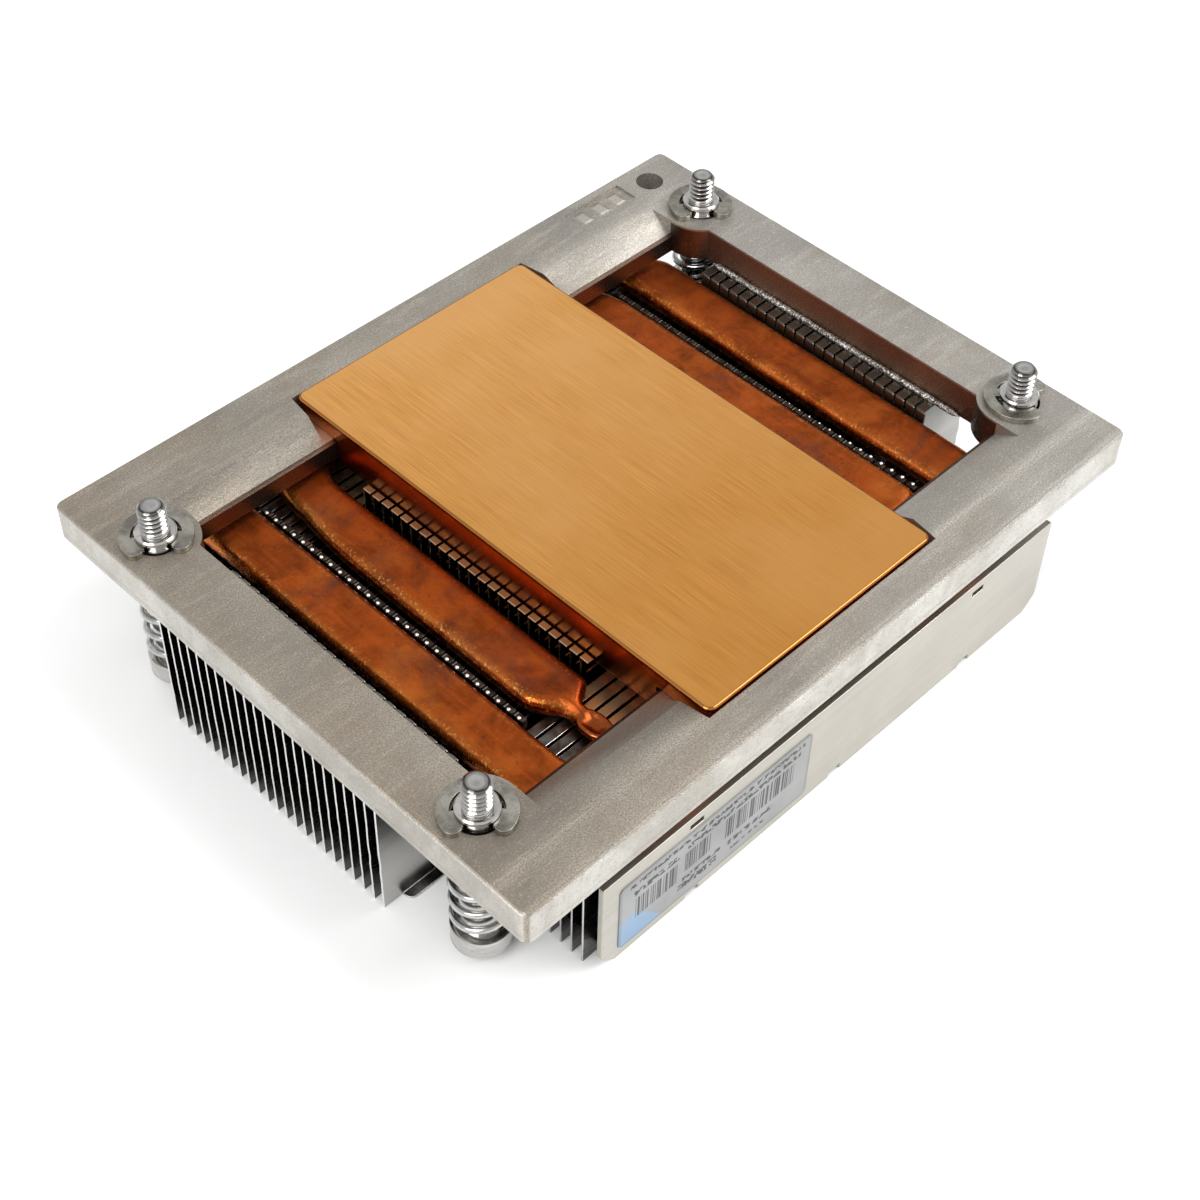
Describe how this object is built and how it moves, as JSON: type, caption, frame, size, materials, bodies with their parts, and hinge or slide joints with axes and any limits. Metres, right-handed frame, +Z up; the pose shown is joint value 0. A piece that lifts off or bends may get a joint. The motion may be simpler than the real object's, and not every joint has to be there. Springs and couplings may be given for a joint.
{
  "type": "processor heat sink",
  "caption": "Flat server heat sink: finned stack, flattened heat pipes and copper base block under a cast mounting frame with sprung captive screws.",
  "frame": {"origin": "centre of the footprint, on the plane that the fins stand on", "axes": "+X along the fins, +Y across them away from the labelled side, +Z up from the fins to the processor face"},
  "size_m": [0.105, 0.0826, 0.0296],
  "materials": {
    "cast_frame": "as cast, matte grey with a fine grain",
    "base_copper": "copper, brushed along its long side",
    "pipe_copper": "copper, darkened by heat, satin",
    "fin_sheet": "bright plated sheet",
    "cover_sheet": "bright plated sheet",
    "label_foil": "silver foil sticker",
    "screw_steel": "nickel plated",
    "clip_steel": "nickel plated",
    "spring_steel": "bright wire"
  },
  "bodies": {
    "stack": {"base_block": "base_copper", "far_short_fins_1": "fin_sheet", "far_short_fins_2": "fin_sheet", "far_short_fins_3": "fin_sheet", "far_short_fins_4": "fin_sheet", "far_short_fins_5": "fin_sheet", "far_side_cover": "cover_sheet", "heat_pipe_back_inner": "pipe_copper", "heat_pipe_back_outer": "pipe_copper", "heat_pipe_front_inner": "pipe_copper", "heat_pipe_front_outer": "pipe_copper", "label": "label_foil", "label_short_fins_1": "fin_sheet", "label_short_fins_2": "fin_sheet", "label_short_fins_3": "fin_sheet", "label_short_fins_4": "fin_sheet", "label_short_fins_5": "fin_sheet", "label_short_fins_6": "fin_sheet", "label_side_cover": "cover_sheet", "long_fin_01": "fin_sheet", "long_fin_02": "fin_sheet", "long_fin_03": "fin_sheet", "long_fin_04": "fin_sheet", "long_fin_05": "fin_sheet", "long_fin_06": "fin_sheet", "long_fin_07": "fin_sheet", "long_fin_08": "fin_sheet", "long_fin_09": "fin_sheet", "long_fin_10": "fin_sheet", "long_fin_11": "fin_sheet", "long_fin_12": "fin_sheet", "long_fin_13": "fin_sheet", "long_fin_14": "fin_sheet", "long_fin_15": "fin_sheet", "long_fin_16": "fin_sheet", "long_fin_17": "fin_sheet", "long_fin_18": "fin_sheet", "long_fin_19": "fin_sheet", "long_fin_20": "fin_sheet", "long_fin_21": "fin_sheet", "long_fin_22": "fin_sheet", "long_fin_23": "fin_sheet", "mounting_frame": "cast_frame", "screw_spring_1": "spring_steel", "screw_spring_2": "spring_steel", "screw_spring_3": "spring_steel", "screw_spring_4": "spring_steel"},
    "clip_1": {"retaining_clip_1": "clip_steel"},
    "screw_1": {"captive_screw_1": "screw_steel"},
    "clip_2": {"retaining_clip_2": "clip_steel"},
    "screw_2": {"captive_screw_2": "screw_steel"},
    "clip_3": {"retaining_clip_3": "clip_steel"},
    "screw_3": {"captive_screw_3": "screw_steel"},
    "clip_4": {"retaining_clip_4": "clip_steel"},
    "screw_4": {"captive_screw_4": "screw_steel"}
  },
  "joints": [
    {"name": "press_1", "type": "slide", "parent": "stack", "child": "clip_1", "axis": [0, 0, 1], "range_m": [0, 0.009], "stiffness_N_per_m": 5200, "springref_m": -0.003, "deforming": ["screw_spring_1"]},
    {"name": "turn_1", "type": "hinge", "parent": "clip_1", "child": "screw_1", "pos_m": [-0.047, -0.028, 0.024], "axis": [0, 0, 1], "continuous": true},
    {"name": "press_2", "type": "slide", "parent": "stack", "child": "clip_2", "axis": [0, 0, 1], "range_m": [0, 0.009], "stiffness_N_per_m": 5200, "springref_m": -0.003, "deforming": ["screw_spring_2"]},
    {"name": "turn_2", "type": "hinge", "parent": "clip_2", "child": "screw_2", "pos_m": [-0.047, 0.028, 0.024], "axis": [0, 0, 1], "continuous": true},
    {"name": "press_3", "type": "slide", "parent": "stack", "child": "clip_3", "axis": [0, 0, 1], "range_m": [0, 0.009], "stiffness_N_per_m": 5200, "springref_m": -0.003, "deforming": ["screw_spring_3"]},
    {"name": "turn_3", "type": "hinge", "parent": "clip_3", "child": "screw_3", "pos_m": [0.047, 0.028, 0.024], "axis": [0, 0, 1], "continuous": true},
    {"name": "press_4", "type": "slide", "parent": "stack", "child": "clip_4", "axis": [0, 0, 1], "range_m": [0, 0.009], "stiffness_N_per_m": 5200, "springref_m": -0.003, "deforming": ["screw_spring_4"]},
    {"name": "turn_4", "type": "hinge", "parent": "clip_4", "child": "screw_4", "pos_m": [0.047, -0.028, 0.024], "axis": [0, 0, 1], "continuous": true}
  ]
}
